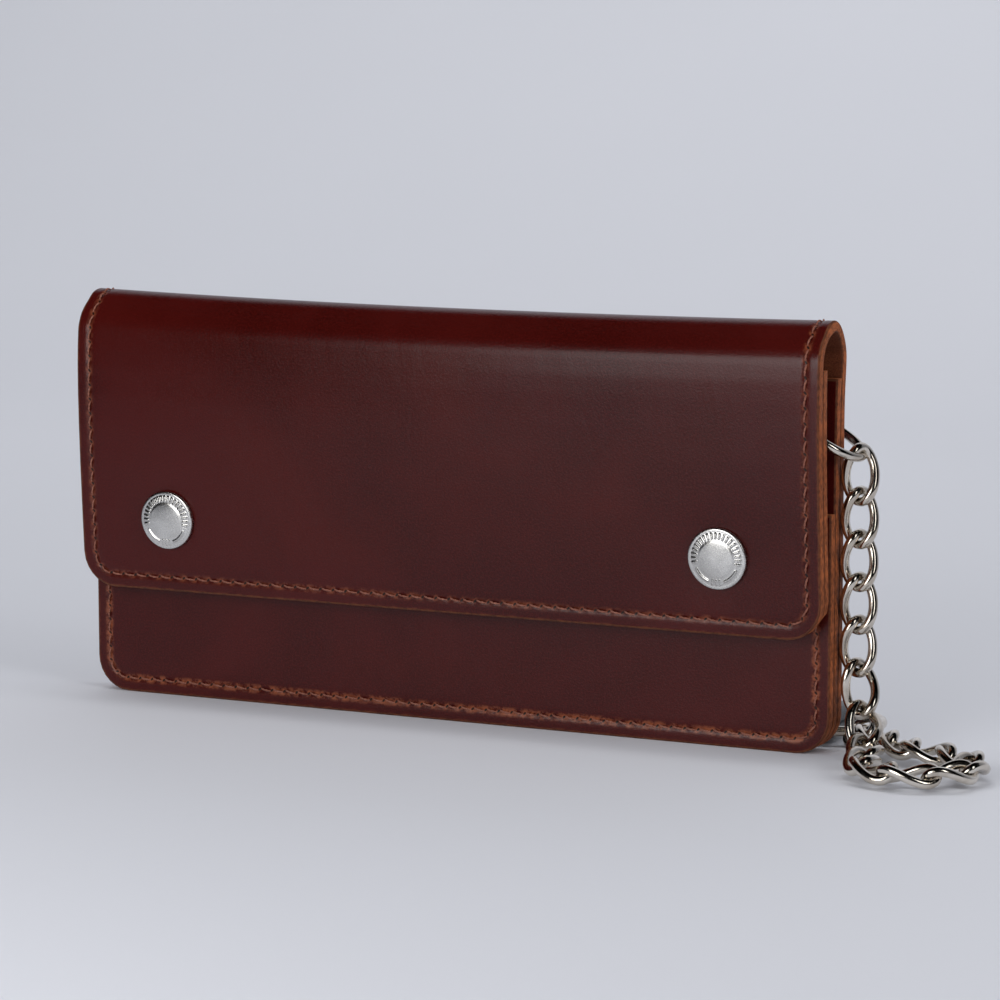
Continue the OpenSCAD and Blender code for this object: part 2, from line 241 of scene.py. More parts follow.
def smooth_leather(name, dark, light, scuffs, offset):
    """Waxed pull-up leather.
    Layer "flat" holds the sheet's own metres, layer "seam" the run along the seam and its inset."""
    n = Nodes(name)
    flat = n.scaled(n.uv("flat"), (1, 1, 1), (offset, offset * 0.7, offset))
    run, inset, _ = n.split(n.uv("seam"))
    cloud = n.noise(flat, CLOUD, 4, 0.55, 0.4)
    patch = n.noise(flat, PATCH, 2, 0.5)
    tone = n.ramp(n.math("ADD", n.math("MULTIPLY", cloud, 0.6), n.math("MULTIPLY", patch, 0.4)), 0.36, 0.64)
    color = n.mix(tone, dark, light)
    grain = n.noise(flat, GRAIN, 4, 0.7)
    color = n.mix(n.ramp(grain, 0.42, 0.62, 0.0, 0.6), color, scaled_color(light, 1.3, 1.3, 1.3))
    fibre = n.noise(flat, FIBRE, 2, 0.5)
    color = n.mix(n.ramp(fibre, 0.35, 0.6, 0.45, 0.0), color, scaled_color(dark, 0.45, 0.4, 0.4))
    # rubbed lighter along the seam, more on some stretches than others
    near_seam = n.ramp(n.math("ABSOLUTE", n.math("SUBTRACT", inset, SEAM_IN * MM)), 0.0002, 0.0016, 1.0, 0.0)
    rubbed = n.ramp(n.noise(flat, RUB, 4, 0.7), 0.40, 0.64)
    stretch = n.ramp(n.noise(flat, SEAM_PATCH, 2, 0.5), 0.32, 0.60, 0.40, 1.0)
    scuff = n.math("MULTIPLY", n.math("MULTIPLY", near_seam, rubbed), n.math("MULTIPLY", stretch, scuffs))
    color = n.mix(scuff, color, RUBBED)
    # the stitch holes, painted near black as painted shade inside them, and the stretched leather round them
    far = seam_holes(n, run, inset)
    hole = n.ramp(far, 0.55, 1.0, 1.0, 0.0)
    halo = n.math("MULTIPLY", n.ramp(far, 0.9, 2.4, 1.0, 0.0), n.ramp(rubbed, 0.0, 0.6, 0.35, 1.0))
    pulled = n.math("MULTIPLY", halo, n.math("ADD", 0.30, n.math("MULTIPLY", scuffs, 0.45)))
    color = n.mix(pulled, color, PULLED)
    color = n.mix(hole, color, HOLE_SHADE)
    # burnished rim
    rim = n.ramp(inset, 0.0002, 0.0011, 0.55, 0.0)
    color = n.mix(n.math("MULTIPLY", rim, n.ramp(n.noise(flat, RIM_WEAR, 3), 0.42, 0.68)), color, RIM_TONE)
    pores = n.cells(flat, PORES)
    creases = n.noise(n.scaled(flat, (1, 0.35, 1)), CREASE, 4, 0.6, 1.2)
    normal = n.bump(n.math("ADD", pores, n.math("MULTIPLY", grain, 1.8)), 0.00004, 0.72)
    normal = n.bump(creases, 0.00045, 0.22, normal)
    rough = n.ramp(cloud, 0.3, 0.7, 0.205, 0.27, False)
    rough = n.math("ADD", rough, n.math("MULTIPLY", n.math("ADD", hole, scuff), 0.25))
    return n.finish(color, rough, normal, Specular_IOR_Level=0.17, Coat_Weight=0.16, Coat_Roughness=0.16)


def raw_edge(name, base, dark):
    """Cut leather edge; "flat" holds the run along the edge and the depth into it."""
    n = Nodes(name)
    flat = n.uv("flat")
    _, depth, _ = n.split(flat)
    streak = n.noise(n.scaled(flat, (0.25, 1, 1)), 2600, 4, 0.65)
    blotch = n.noise(flat, 330, 3, 0.6)
    color = n.mix(n.ramp(streak, 0.36, 0.64), dark, base)
    color = n.mix(n.ramp(blotch, 0.45, 0.7, 0.0, 0.55), color, scaled_color(base, 1.35, 1.3, 1.2))
    middle = n.math("ABSOLUTE", n.math("SUBTRACT", depth, LEATHER * MM / 2))
    border = n.ramp(middle, LEATHER * MM * 0.30, LEATHER * MM * 0.47)
    color = n.mix(n.math("MULTIPLY", border, 0.75), color, (0.055, 0.020, 0.012))
    normal = n.bump(streak, 0.00016, 0.8)
    return n.finish(color, 0.74, normal, Specular_IOR_Level=0.2)


def suede(name, base, dark):
    """The fibrous flesh side."""
    n = Nodes(name)
    flat = n.uv("flat")
    nap = n.noise(flat, 2300, 5, 0.75, 0.6)
    patch = n.noise(flat, 120, 4, 0.6)
    color = n.mix(n.ramp(nap, 0.33, 0.66), dark, base)
    color = n.mix(n.ramp(patch, 0.35, 0.7, 0.0, 0.5), color, scaled_color(dark, 0.8, 0.7, 0.7))
    normal = n.bump(nap, 0.0003, 0.8)
    return n.finish(color, 0.92, normal, Specular_IOR_Level=0.15, Sheen_Weight=0.06, Sheen_Roughness=0.5)


def thread_material():
    n = Nodes("waxed_thread")
    spot = n.add("TexCoord").outputs["Object"]
    fuzz = n.noise(spot, 5200, 3, 0.6)
    soil = n.noise(spot, 90, 2)
    color = n.mix(n.ramp(fuzz, 0.35, 0.65), (0.17, 0.057, 0.036), (0.34, 0.135, 0.090))
    color = n.mix(n.ramp(soil, 0.4, 0.7, 0.0, 0.45), color, (0.20, 0.062, 0.038))
    normal = n.bump(fuzz, 0.00005, 0.6)
    return n.finish(color, 0.6, normal, Specular_IOR_Level=0.3, Sheen_Weight=0.1)


def metal(name, base, dark, rough_low, rough_high, scale=900, pits=0.35):
    """Plated metal with a faint cloud in its polish and tiny pits."""
    n = Nodes(name)
    spot = n.add("TexCoord").outputs["Object"]
    cloud = n.noise(spot, 160, 3)
    fine = n.noise(spot, scale, 4, 0.6)
    color = n.mix(n.ramp(cloud, 0.35, 0.7), base, dark)
    rough = n.ramp(fine, 0.3, 0.7, rough_low, rough_high, False)
    return n.finish(color, rough, n.bump(fine, 0.00002, pits), Metallic=1.0)


LEATHER_SHELL = smooth_leather("oxblood_leather", (0.034, 0.0022, 0.0015), (0.062, 0.0042, 0.0030), 0.35, 0.0)
LEATHER_PANEL = smooth_leather("oxblood_panel", (0.038, 0.0030, 0.0022), (0.068, 0.0057, 0.0043), 1.0, 0.31)
EDGE = raw_edge("cut_edge", (0.33, 0.096, 0.032), (0.085, 0.022, 0.008))
SUEDE = suede("flesh_side", (0.24, 0.066, 0.027), (0.085, 0.021, 0.009))
THREAD = thread_material()
SATIN = metal("satin_nickel", (0.68, 0.67, 0.65), (0.56, 0.55, 0.53), 0.22, 0.30, 2600, 0.10)
DULL = metal("dull_nickel", (0.60, 0.58, 0.54), (0.42, 0.40, 0.37), 0.30, 0.45)
CHAIN_METAL = metal("polished_nickel", (0.74, 0.69, 0.62), (0.52, 0.46, 0.39), 0.10, 0.20)
STRAP = smooth_leather("black_strap", (0.010, 0.011, 0.013), (0.020, 0.022, 0.026), 0.0, 0.77)
STRAP_EDGE = raw_edge("strap_edge", (0.030, 0.030, 0.032), (0.012, 0.012, 0.013))

# ---------- mesh helpers ----------


def make_object(name, points, faces, materials, face_materials=None, layers=None, merge=False):
    """An object from points in millimetres.
    layers maps a UV layer's name to one (u, v) per face corner, in metres."""
    mesh = bpy.data.meshes.new(name)
    mesh.from_pydata([tuple(c * MM for c in p) for p in points], [], faces)
    for material in materials:
        mesh.materials.append(material)
    if face_materials is not None:
        mesh.polygons.foreach_set("material_index", face_materials)
    for layer, corners in (layers or {}).items():
        uv = mesh.uv_layers.new(name=layer)
        uv.data.foreach_set("uv", np.array(corners, np.float32).ravel())
    mesh.shade_smooth()
    if merge:
        work = bmesh.new()
        work.from_mesh(mesh)
        bmesh.ops.remove_doubles(work, verts=work.verts, dist=1e-7)
        bmesh.ops.recalc_face_normals(work, faces=work.faces)
        work.to_mesh(mesh)
        work.free()
    piece = bpy.data.objects.new(name, mesh)
    bpy.context.scene.collection.objects.link(piece)
    return piece


def smoothstep(value, low, high):
    t = min(1.0, max(0.0, (value - low) / (high - low)))
    return t * t * (3 - 2 * t)


# ---------- the leather's shape ----------

TOP_SAG = 0.9
LEFT_LIFT = 0.8
BACK_BULGE = 0.9
WAVE = 0.3
# the front leans back into the fold: heights above the floor and the share of the whole lean reached there
EASE_Z = [60, 70, 78, 85, 90, 94.7, 98.5, 101.4, CROWN]
EASE = [0.0, 0.04, 0.11, 0.22, 0.34, 0.50, 0.72, 1.0, 0.85]
EASE_LEFT, EASE_RIGHT = 4.4, 3.0
# heights and depths between which the wave, the sag and the bulge come in
WAVE_FROM, WAVE_TO = 36, 74
SAG_FROM = 62
BULGE_Z, BULGE_SPREAD = 95, 7.5
BULGE_FROM_Y, BULGE_TO_Y = 2, 8
BOW_FROM_Z, BOW_TO_Z = 26, 56
BOW_FROM_X, BOW_TO_X = 90, 66


def softened(x, y, z):
    """The wallet's slackness: a front that eases back into the fold, a sagging crown and a slow wave."""
    side = (x + HALF_W) / (2 * HALF_W)
    most = EASE_LEFT + (EASE_RIGHT - EASE_LEFT) * side
    ease = float(np.interp(z, EASE_Z, EASE))
    y += most * ease * smoothstep(-y, -FOLD_R, 2)
    y += WAVE * math.sin(math.pi * x / SNAP_X) * smoothstep(z, WAVE_FROM, WAVE_TO)
    bulge = math.exp(-((z - BULGE_Z) / BULGE_SPREAD) ** 2)
    y += BACK_BULGE * bulge * smoothstep(y, BULGE_FROM_Y, BULGE_TO_Y)
    z += (LEFT_LIFT * (1 - side) ** 2 - TOP_SAG * (1 - (x / HALF_W) ** 2)) * smoothstep(z, SAG_FROM, CROWN)
    return x, y, z


BACK_L = AXIS_Z
ARC_BACK = FOLD_R * math.pi / 2
ARC_FRONT = FOLD_R * (math.pi / 2 + LEAN)


def on_shell(x, s, depth):
    """A point of the shell, s millimetres along its outer face from the back's bottom edge, depth inwards."""
    if s <= BACK_L:
        return softened(x, FOLD_R - depth, s)
    turned = min((s - BACK_L) / FOLD_R, math.pi + LEAN)
    radius = FOLD_R - depth
    y = radius * math.cos(turned)
    z = AXIS_Z + radius * math.sin(turned)
    down = max(0.0, s - BACK_L - ARC_BACK - ARC_FRONT)
    return softened(x, y + down * math.sin(LEAN), z - down * math.cos(LEAN))


SHELL_L = BACK_L + ARC_BACK + ARC_FRONT + FLAP_L
CROWN_S = BACK_L + ARC_BACK


def on_flap(x, t, depth):
    return on_shell(x, SHELL_L - t, depth)


def on_lining(x, t, depth):
    """The lining lies behind the flap with its flesh side out: depth runs from the flap towards the back."""
    return on_shell(x, SHELL_L - t, LEATHER + depth)


def bow(x, z, most):
    """How far a panel's field stands forward of its seams."""
    return most * smoothstep(z, BOW_FROM_Z, BOW_TO_Z) * smoothstep(-abs(x), -BOW_FROM_X, -BOW_TO_X)


def on_front(x, t, depth):
    return softened(x, SEAM_Y + depth - bow(x, t, FRONT_BOW), t)


def on_inner(x, t, depth):
    return softened(x, FRONT_Y + depth - bow(x, t, INNER_BOW), t)


# ---------- leather sheets ----------

SEAM_R = CORNER_R - SEAM_IN
# the seam's run from the bottom's middle to where its corner starts, and to where its side starts
BOTTOM_END = HALF_W - CORNER_R
SIDE_START = BOTTOM_END + SEAM_R * math.pi / 2
# insets of the rings that follow the outline, from the rounded rim to the square field
RINGS = [EDGE_ROUND, 0.9, 1.5, 2.2, 2.75, 3.1, 3.35, 3.6, 3.85, 4.1, 4.5, 5.2, 6.2, 7.5, CORNER_R]
# the rim's profile: (inset, depth) from the outer face round to the inner one
RIM = [(EDGE_ROUND, 0.0), (0.24, 0.08), (0.06, 0.26), (0.0, EDGE_ROUND),
       (0.0, LEATHER - EDGE_ROUND), (0.06, LEATHER - 0.26), (0.24, LEATHER - 0.08), (EDGE_ROUND, LEATHER)]
GROOVE = 0.18
PINCH = 0.30
DIMPLE = 0.55
DIMPLE_R = 9.5
GROOVE_WIDE = 0.8
HOLE_LONG, HOLE_WIDE = 0.7, 0.5
# where two sheets meet, extra rows this close to the meeting line keep its shading smooth
MEETING_ROWS = (0.05, 0.15, 0.4, 0.8)
CLOSEST_COLUMNS = 0.3
# a seam coordinate between two holes and far inside the edge, for sheets that have no seam
NO_SEAM = (0.5 * PITCH * MM, 0.02)


def seam_plan(top):
    """The seam's length on each half, from the bottom's middle, and the pitch that divides it evenly."""
    length = SIDE_START + top - CORNER_R
    return length, length / round(length / PITCH)


def on_outline(run, inset):
    """The flat (x, t) of a point at a run from the bottom's middle and an inset from the edge."""
    side = 1 if run >= 0 else -1
    run = abs(run)
    if run <= BOTTOM_END:
        return side * run, inset
    if run >= SIDE_START:
        return side * (HALF_W - inset), CORNER_R + run - SIDE_START
    angle = (run - BOTTOM_END) / SEAM_R
    radius = CORNER_R - inset
    return side * (BOTTOM_END + radius * math.sin(angle)), CORNER_R - radius * math.cos(angle)


def relief(run, inset, pitch, stitched):
    """How far the outer face is drawn in near the seam and its holes."""
    if not stitched:
        return 0.0
    off = inset - SEAM_IN
    phase = (run / pitch - round(run / pitch)) * pitch
    hole = math.exp(-((phase / HOLE_LONG) ** 2) - (off / HOLE_WIDE) ** 2)
    return GROOVE * math.exp(-((off / GROOVE_WIDE) ** 2)) + PINCH * hole


def seam_runs(last, spacing, extra):
    """Runs of one half's columns and rows, from the bottom's middle to its last row."""
    runs = {0.0, BOTTOM_END, SIDE_START, last, *extra}
    for k in range(1, int(last / spacing) + 1):
        if min(abs(k * spacing - fixed) for fixed in runs) > CLOSEST_COLUMNS:
            runs.add(k * spacing)
    return sorted(runs)


def leather_sheet(name, top, place, materials, stitched=True, cut_top=True, step=3, snaps=()):
    """A sheet with rounded lower corners. place maps flat (x, t, depth) to the wallet; t runs up from its
    lower edge. With cut_top the upper edge is rounded like the others. Without it the sheet ends square, to
    meet another."""
    drop = EDGE_ROUND if cut_top else 0.0
    length, pitch = seam_plan(top)
    last = length - drop
    half = seam_runs(last, pitch / step, [] if cut_top else [last - gap for gap in MEETING_ROWS])
    runs = [-r for r in reversed(half[1:])] + half
    columns = [r for r in runs if abs(r) <= BOTTOM_END + 1e-9]
    rows = [CORNER_R + r - SIDE_START for r in half if r >= SIDE_START - 1e-9]
    points, index, facts = [], {}, {}
    faces, kinds = [], []

    def sunk(x, t, run, inset):
        """How far the outer face lies below the plain sheet."""
        sink = relief(run, inset, pitch, stitched)
        for snap_x, snap_t in snaps:
            sink += DIMPLE * math.exp(-((x - snap_x) ** 2 + (t - snap_t) ** 2) / DIMPLE_R ** 2)
        return sink

    def vertex(key, x, t, depth, run, inset):
        if key not in index:
            index[key] = len(points)
            facts[index[key]] = (x, t, run, inset, depth)
            points.append(place(x, t, depth + (sunk(x, t, run, inset) if depth == 0.0 else 0.0)))
        return index[key]

    def face(corners, kind):
        corners = list(dict.fromkeys(corners))
        if len(corners) > 2:
            faces.append(corners)
            kinds.append(kind)

    def field(x, t, depth):
        """A vertex of the square field, or of the innermost ring, which is its border."""
        near = min(HALF_W - abs(x), t)
        run = x if t <= CORNER_R else math.copysign(SIDE_START + t - CORNER_R, x)
        return vertex((round(x, 4), round(t, 4), depth, "field"), x, t, depth, run, near)

    def ring(run, inset, depth):
        x, t = on_outline(run, inset)
        if inset >= CORNER_R:
            return field(x, t, depth)
        return vertex((round(run, 4), inset, depth), x, t, depth, run, inset)

    def top_side(side, inset, depth):
        """The upper row's vertices from one side's rim in to the field."""
        t = top - (inset if cut_top else 0.0)
        on_field = not cut_top or (abs(t - (top - drop)) < 1e-9 and depth in (0.0, LEATHER))
        part = []
        for value in [inset, *RINGS[1:-1]]:
            if on_field:
                part.append(ring(side * last, value, depth))
            else:
                x = side * (HALF_W - value)
                part.append(vertex(("top", side, value, depth), x, t, depth, side * last, value))
        return part

    def top_middle(inset, depth):
        t = top - (inset if cut_top else 0.0)
        if depth in (0.0, LEATHER):
            return [field(x, rows[-1], depth) for x in columns]
        return [vertex(("top", round(x, 4), depth), x, t, depth, x, CORNER_R) for x in columns]

    for depth in (0.0, LEATHER):
        kind = 0 if depth == 0.0 else 1
        for x0, x1 in zip(columns, columns[1:]):
            for t0, t1 in zip(rows, rows[1:]):
                spots = ((x0, t0), (x1, t0), (x1, t1), (x0, t1))
                face([field(x, t, depth) for x, t in spots], kind)
        for r0, r1 in zip(runs, runs[1:]):
            for i0, i1 in zip(RINGS, RINGS[1:]):
                spots = ((r0, i0), (r1, i0), (r1, i1), (r0, i1))
                face([ring(run, inset, depth) for run, inset in spots], kind)
    for r0, r1 in zip(runs, runs[1:]):
        for (i0, d0), (i1, d1) in zip(RIM, RIM[1:]):
            face([ring(r0, i0, d0), ring(r1, i0, d0), ring(r1, i1, d1), ring(r0, i1, d1)], EDGE_SLOT)
    # the upper edge: rows of points from the outer face over to the inner one
    top_rows = []
    for inset, depth in RIM:
        left, right = top_side(-1, inset, depth), top_side(1, inset, depth)
        top_rows.append(left + top_middle(inset, depth) + right[::-1])
    for row0, row1 in zip(top_rows, top_rows[1:]):
        for k in range(len(row0) - 1):
            face([row0[k], row0[k + 1], row1[k + 1], row1[k]], EDGE_SLOT)
    if cut_top:
        for side, end in ((-1, 0), (1, -1)):
            run = side * last
            for k, (start, stop) in enumerate(zip(RIM, RIM[1:])):
                face([ring(run, *start), ring(run, *stop), top_rows[k + 1][end], top_rows[k][end]], EDGE_SLOT)
    flat, seam = [], []
    for corners, kind in zip(faces, kinds):
        for v in corners:
            x, t, run, inset, depth = facts[v]
            flat.append((run * MM, depth * MM) if kind == EDGE_SLOT else (x * MM, t * MM))
            seam.append((run * PITCH / pitch * MM, inset * MM) if stitched else NO_SEAM)
    return make_object(name, points, faces, materials, kinds, {"flat": flat, "seam": seam})


def closed_normals(piece):
    """Turns every face of a closed piece outwards."""
    work = bmesh.new()
    work.from_mesh(piece.data)
    bmesh.ops.recalc_face_normals(work, faces=work.faces)
    work.to_mesh(piece.data)
    work.free()
    return piece


FLAP_TOP = SHELL_L - CROWN_S
LINING_SHORT = 1.7
LINING_TOP = FLAP_L - LINING_SHORT
DIMPLE_SHIFT = 0.2
SNAP_T = (SNAP_Z - FLAP_EDGE) / math.cos(LEAN) + DIMPLE_SHIFT
SHELL_LOOK = [LEATHER_SHELL, SUEDE, EDGE]
PANEL_LOOK = [LEATHER_PANEL, SUEDE, EDGE]
shell_rear = closed_normals(leather_sheet("shell_rear", CROWN_S, on_shell, SHELL_LOOK, cut_top=False))
shell_front = closed_normals(leather_sheet("shell_front", FLAP_TOP, on_flap, SHELL_LOOK, cut_top=False,
                                           snaps=[(-SNAP_X, SNAP_T), (SNAP_X, SNAP_T)]))
lining = closed_normals(leather_sheet("flap_lining_piece", LINING_TOP, on_lining, [SUEDE, SUEDE, EDGE],
                                      stitched=False, step=1))
front_panel = closed_normals(leather_sheet("front_panel_piece", FRONT_TOP, on_front, PANEL_LOOK))
inner_panel = closed_normals(leather_sheet("inner_panel_piece", INNER_TOP, on_inner, PANEL_LOOK,
                                           stitched=False, step=2))

# ---------- stitching ----------

STRAND_R = 0.155
STRAND_OFF = 0.115
SIDES = 6
STITCH_STEPS = 9
STITCH_FROM, STITCH_SHARE = 0.06, 0.88
LEAN_OVER, LEAN_PLAY = 0.30, 0.08
LIFT, LIFT_PLAY = 0.30, 0.06
HOLE_DEPTH = 0.75
ARCH_POWER = 0.6
STRAND_TURNS = 1.5
THIN_END = 0.7


def stitch_run(name, top, place):
    """A twisted two-ply stitch between each pair of holes, drawn down into the holes at its ends."""
    length, pitch = seam_plan(top)
    count = round(length / pitch)
    points, faces = [], []
    for k in range(-count, count):
        wobble = random.Random(k * 7 + len(name))
        lean_over = LEAN_OVER + wobble.uniform(-LEAN_PLAY, LEAN_PLAY)
        lift = LIFT + wobble.uniform(-LIFT_PLAY, LIFT_PLAY)
        for strand in (0, math.pi):
            first = len(points)
            for i in range(STITCH_STEPS):
                u = i / (STITCH_STEPS - 1)
                run = (k + STITCH_FROM + STITCH_SHARE * u) * pitch
                inset = SEAM_IN + lean_over * (1 - 2 * u)
                arch = math.sin(math.pi * u) ** ARCH_POWER
                height = -HOLE_DEPTH + (HOLE_DEPTH + lift - GROOVE * 0.6) * arch
                taper = THIN_END + (1 - THIN_END) * arch
                twist = strand + u * 2 * math.pi * STRAND_TURNS
                for j in range(SIDES):
                    a = 2 * math.pi * j / SIDES
                    off_in = STRAND_OFF * math.cos(twist) + STRAND_R * math.cos(a)
                    off_up = STRAND_OFF * math.sin(twist) + STRAND_R * math.sin(a)
                    x, t = on_outline(run, inset + off_in * taper)
                    points.append(place(x, t, -(height + off_up * taper)))
            for i in range(STITCH_STEPS - 1):
                for j in range(SIDES):
                    a, b = first + i * SIDES + j, first + i * SIDES + (j + 1) % SIDES
                    faces.append([a, b, b + SIDES, a + SIDES])
            faces.append([first + j for j in reversed(range(SIDES))])
            faces.append([first + (STITCH_STEPS - 1) * SIDES + j for j in range(SIDES)])
    return make_object(name, points, faces, [THREAD])


thread_rear = closed_normals(stitch_run("stitches_rear", CROWN_S, on_shell))
thread_front = closed_normals(stitch_run("stitches_flap", FLAP_TOP, on_flap))
thread_body = closed_normals(stitch_run("stitches_body", FRONT_TOP, on_front))

# ---------- turned pieces ----------


def turned(name, profile, place, material, around, ornament):
    """A closed lathe shape: profile is (radius, height) from the axis over the top and back to the axis."""
    points, faces = [], []
    for radius, height in profile:
        for j in range(around):
            a = 2 * math.pi * j / around
            points.append(place(radius * math.cos(a), radius * math.sin(a), height + ornament(radius, a)))
    for i in range(len(profile) - 1):
        for j in range(around):
            a, b = i * around + j, i * around + (j + 1) % around
            faces.append([a, b, b + around, a + around])
    return make_object(name, points, faces, [material], merge=True)


def cap_profile(radius, edge, crown):
    """A snap cap: rolled rim, a sunk band for the ornament and a plain domed middle."""
    dome = (radius ** 2 + (crown - edge) ** 2) / (2 * (crown - edge))

    def top(share):
        return crown - dome + math.sqrt(dome ** 2 - (radius * share) ** 2)

    profile = [(0.0, top(0))]
    profile += [(radius * share, top(share)) for share in np.linspace(0.06, 0.60, 9)]
    profile += [(radius * share, top(share) - BAND_SINK) for share in np.linspace(*BAND, 14)]
    profile += [(radius * share, top(share)) for share in (0.915, 0.94)]
    profile += [(radius * 0.975, edge + 0.08), (radius * 0.995, edge - 0.15), (radius, edge - 0.45),
                (radius * 0.985, -0.25), (radius * 0.95, -0.45), (0.0, -0.45)]
    return profile


CAP_R = (box_mm("snap_cap_right")[1][0] - box_mm("snap_cap_right")[0][0]) / 2
CAP_EDGE = 0.9
CAP_CROWN = 1.9
BAND = (0.63, 0.89)
BAND_SINK = 0.10
BAR_RISE = 0.34
BARS = 36
BAR_SHARES = (0.645, 0.68, 0.84, 0.875)
BAR_TURNS = (0.10, 0.30)
# the arcs below: their share of the radius and thickness, and the degrees either side of straight down
ARC_SHARE, ARC_THICK = 0.76, 0.035
ARC_FROM, ARC_TO = 19, 64
PLAIN = ((16, 22), (56, 72))
CAP_AROUND = 288


def cap_ornament(radius, angle):
    """Short radial bars over the upper part of the band, and below two plain arcs with bars between them."""
    share = radius / CAP_R
    if not BAND[0] < share < BAND[1]:
        return 0.0
    degrees = math.degrees(angle) % 360
    below = abs((degrees - 270 + 180) % 360 - 180)
    if ARC_FROM < below < ARC_TO:
        return BAR_RISE * math.exp(-((share - ARC_SHARE) / ARC_THICK) ** 2)
    if any(start < below < end for start, end in PLAIN):
        return 0.0
    turn = degrees * BARS / 360
    off = abs(turn - round(turn))
    ends = smoothstep(share, *BAR_SHARES[:2]) * (1 - smoothstep(share, *BAR_SHARES[2:]))
    return BAR_RISE * ends * (1 - smoothstep(off, *BAR_TURNS))


def at_flap_snap(snap_x):
    """Maps a snap's own (across, up, out) to the wallet, from the middle of its cap's seat on the flap."""
    axis = Vector((0, -math.cos(LEAN), -math.sin(LEAN)))
    up = Vector((0, -math.sin(LEAN), math.cos(LEAN)))
    local = (SNAP_Z - AXIS_Z) / math.cos(LEAN)
    centre = Vector((snap_x, -FOLD_R * math.cos(LEAN) - local * math.sin(LEAN),
                     AXIS_Z - FOLD_R * math.sin(LEAN) + local * math.cos(LEAN)))

    def place(a, b, height):
        return tuple(centre + Vector((1, 0, 0)) * a + up * b + axis * height)

    return place


def flap_cap(name, snap_x):
    profile = cap_profile(CAP_R, CAP_EDGE, CAP_CROWN)
    return turned(name, profile, at_flap_snap(snap_x), SATIN, CAP_AROUND, cap_ornament)


cap_left = flap_cap("snap_cap_left_piece", -SNAP_X)
cap_right = flap_cap("snap_cap_right_piece", SNAP_X)
SOCKET_HOLE_R = 5.25
STUD_HOLE_R = 4.95
STUD_SEAT = 2 * LEATHER + FLAP_GAP
STUD_FLANGE = 0.5
HOLE_AROUND = 64
BEHIND_FLANGE = 0.02


def punch(sheet, snap_x, radius, start, end):
    """Cuts a round hole into a sheet on a snap's axis, between two depths behind the flap's outer face."""
    profile = [(0.0, -start), (radius, -start), (radius, -end), (0.0, -end)]
    place = at_flap_snap(snap_x)
    cutter = turned("hole_cutter", profile, place, EDGE, HOLE_AROUND, lambda distance, angle: 0.0)
    cutter.data.shade_flat()
    cutter.data.polygons.foreach_set("material_index", [EDGE_SLOT] * len(cutter.data.polygons))
    modifier = sheet.modifiers.new("hole", "BOOLEAN")
    modifier.operation = "DIFFERENCE"
    modifier.solver = "EXACT"
    modifier.object = cutter
    whole = sheet.data
    cut = sheet.evaluated_get(bpy.context.evaluated_depsgraph_get())
    sheet.data = bpy.data.meshes.new_from_object(cut)
    sheet.modifiers.clear()
    bpy.data.meshes.remove(whole)
    bpy.data.objects.remove(cutter)


for snap_x in (-SNAP_X, SNAP_X):
    punch(lining, snap_x, SOCKET_HOLE_R, -1.0, 3 * LEATHER)
    punch(front_panel, snap_x, STUD_HOLE_R, LEATHER, STUD_SEAT + STUD_FLANGE - BEHIND_FLANGE)

# ---------- chain ----------

LINK_L = 15.3
LINK_W = 9.2
LINK_PITCH = 10.3
WIRE_D = 2.3
RING_WIRE_D = 2.2
HANGING = [(-18, -90), (-18, -90), (-18, -90), (-22, -90), (-30, -90), (-52, -67)]
ON_FLOOR = [(-64, -39), (-70, -7), (-76, 0), (-34, 0), (10, 0), (56, 0),
            (102, 0), (146, 0), (165, 0), (140, 0), (140, 0)]
HEADINGS = HANGING + ON_FLOOR
FACING_ROLL = 64
LINK_TWIST = math.radians(45)
LINK_SQUARENESS = 0.86
LINK_STEPS = 72
WIRE_SIDES = 14
HOOK_PLAY = 0.1


def heading(azimuth, elevation):
    a, e = math.radians(azimuth), math.radians(elevation)
    return np.array([math.cos(e) * math.cos(a), math.cos(e) * math.sin(a), math.sin(e)])


def chain_joints():
    low, high = box_mm("wallet_ring")
    hook = LINK_L / 2 - WIRE_D - RING_WIRE_D / 2 - HOOK_PLAY
    point = np.array([high[0] - RING_WIRE_D / 2, (low[1] + high[1]) / 2,
                      low[2] + RING_WIRE_D / 2 + LINK_PITCH / 2 - hook])
    joints = [point]
    for direction in HEADINGS:
        joints.append(joints[-1] + LINK_PITCH * heading(*direction))
    return joints


def squared(value):
    return math.copysign(abs(value) ** LINK_SQUARENESS, value)


def link_line():
    """The twisted centreline of one link along X."""
    half_w = LINK_W / 2 - WIRE_D / 2
    half_l = LINK_L / 2 - LINK_W / 2 + half_w
    line = []
    for k in range(LINK_STEPS):
        a = 2 * math.pi * k / LINK_STEPS
        x = half_l * squared(math.cos(a))
        y = half_w * squared(math.sin(a))
        turn = LINK_TWIST * x / half_l
        line.append(np.array([x, y * math.cos(turn), y * math.sin(turn)]))
    return line


def tube_loop(line, radius):
    """Points and faces of a closed tube along a loop."""
    count = len(line)
    points, faces = [], []
    for k in range(count):
        tangent = line[(k + 1) % count] - line[k - 1]
        tangent = tangent / np.linalg.norm(tangent)
        outward = line[k] - np.mean(line, axis=0)
        outward = outward - tangent * (outward @ tangent)
        outward = outward / np.linalg.norm(outward)
        sideways = np.cross(tangent, outward)
        for j in range(WIRE_SIDES):
            a = 2 * math.pi * j / WIRE_SIDES
            points.append(line[k] + radius * (math.cos(a) * outward + math.sin(a) * sideways))
    for k in range(count):
        here, ahead = k * WIRE_SIDES, (k + 1) % count * WIRE_SIDES
        for j in range(WIRE_SIDES):
            beside = (j + 1) % WIRE_SIDES
            faces.append([here + j, here + beside, ahead + beside, ahead + j])
    return points, faces


